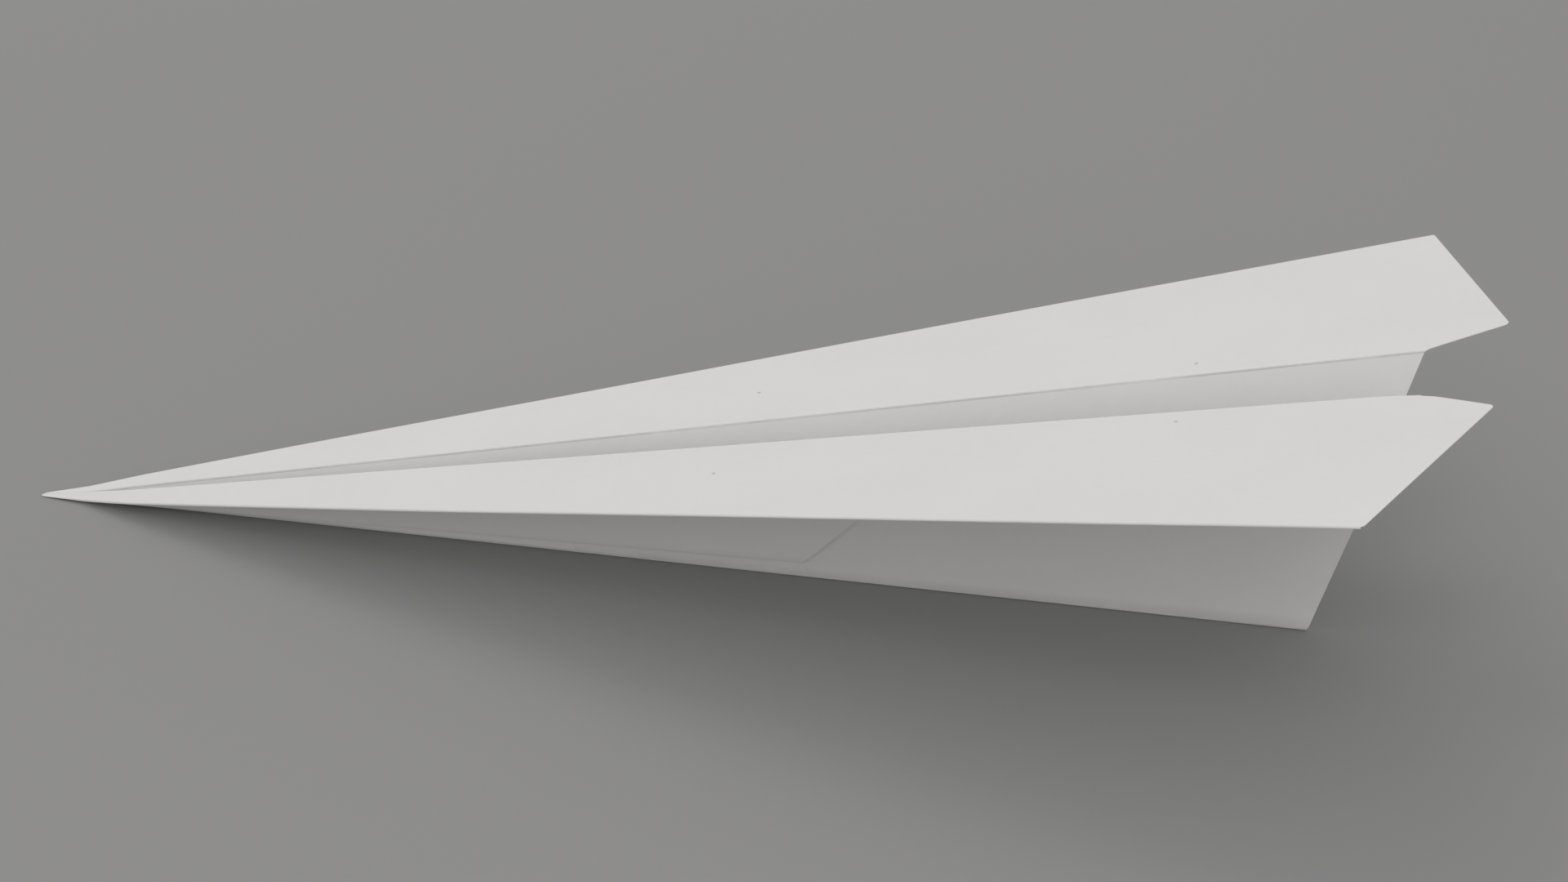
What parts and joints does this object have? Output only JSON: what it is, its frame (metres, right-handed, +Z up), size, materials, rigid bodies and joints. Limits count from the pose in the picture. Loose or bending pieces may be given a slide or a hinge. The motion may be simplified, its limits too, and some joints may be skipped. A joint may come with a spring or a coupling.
{
  "type": "paper airplane",
  "caption": "Folded paper dart with a keel, upright walls, long swept wings and turned-under flaps; the creases hinge, so wings, walls and side flaps move.",
  "frame": {"origin": "on the ground under the middle of the bounding box", "axes": "+X from the nose to the tail, +Y to the right side of the airplane, +Z up; the keel fold rests on z = 0"},
  "size_m": [0.2772, 0.1288, 0.0565],
  "materials": {
    "paper": "matte, fine paper grain",
    "paper_fold": "matte, lightly worn along the crease"
  },
  "bodies": {
    "keel": {"keel_fold": "paper_fold", "nose_tip": "paper_fold"},
    "right_wall": {"right_wall_base": "paper", "right_wall_corner_flap": "paper", "right_wing_crease": "paper_fold", "right_corner_flap_crease": "paper_fold", "right_inner_flap_crease": "paper_fold", "right_outer_flap_crease": "paper_fold"},
    "right_wing": {"right_wing_base": "paper", "right_wing_corner_flap": "paper", "right_wing_flap_inner": "paper", "right_wing_flap_outer": "paper", "right_leading_edge_fold": "paper_fold", "right_inner_edge_fold": "paper_fold"},
    "right_side_flap": {"right_side_flap_inner": "paper", "right_side_flap_outer": "paper", "right_side_flap_fold": "paper_fold"},
    "left_wall": {"left_wall_base": "paper", "left_wall_corner_flap": "paper", "left_wing_crease": "paper_fold", "left_corner_flap_crease": "paper_fold", "left_inner_flap_crease": "paper_fold", "left_outer_flap_crease": "paper_fold"},
    "left_wing": {"left_wing_base": "paper", "left_wing_corner_flap": "paper", "left_wing_flap_inner": "paper", "left_wing_flap_outer": "paper", "left_leading_edge_fold": "paper_fold", "left_inner_edge_fold": "paper_fold"},
    "left_side_flap": {"left_side_flap_inner": "paper", "left_side_flap_outer": "paper", "left_side_flap_fold": "paper_fold"}
  },
  "joints": [
    {"name": "right_wall_fold", "type": "hinge", "parent": "keel", "child": "right_wall", "pos_m": [-0.01545, 0, 0.0005], "axis": [-1, 0, 0], "range_deg": [-9, 30], "stiffness_Nm_per_rad": 0.03},
    {"name": "left_wall_fold", "type": "hinge", "parent": "keel", "child": "left_wall", "pos_m": [-0.01545, 0, 0.0005], "axis": [1, 0, 0], "range_deg": [-9, 30], "stiffness_Nm_per_rad": 0.03},
    {"name": "right_wing_fold", "type": "hinge", "parent": "right_wall", "child": "right_wing", "pos_m": [-0.0068, 0.00545, 0.02615], "axis": [0.9792, 0.035, 0.1997], "range_deg": [-80, 75], "stiffness_Nm_per_rad": 0.015, "deforming": ["right_wing_crease", "right_corner_flap_crease", "right_inner_flap_crease", "right_outer_flap_crease"]},
    {"name": "right_side_flap_gape", "type": "hinge", "parent": "right_wall", "child": "right_side_flap", "pos_m": [-0.0068, 0.00545, 0.02615], "axis": [0.9792, 0.035, 0.1997], "range_deg": [0, 12], "stiffness_Nm_per_rad": 0.001},
    {"name": "left_wing_fold", "type": "hinge", "parent": "left_wall", "child": "left_wing", "pos_m": [-0.0068, -0.00545, 0.02615], "axis": [-0.9792, 0.035, -0.1997], "range_deg": [-80, 75], "stiffness_Nm_per_rad": 0.015, "deforming": ["left_wing_crease", "left_corner_flap_crease", "left_inner_flap_crease", "left_outer_flap_crease"]},
    {"name": "left_side_flap_gape", "type": "hinge", "parent": "left_wall", "child": "left_side_flap", "pos_m": [-0.0068, -0.00545, 0.02615], "axis": [-0.9792, 0.035, -0.1997], "range_deg": [0, 12], "stiffness_Nm_per_rad": 0.001}
  ],
  "couplings": [
    {"joint": "left_wall_fold", "follows": "right_wall_fold", "ratio": 1}
  ]
}
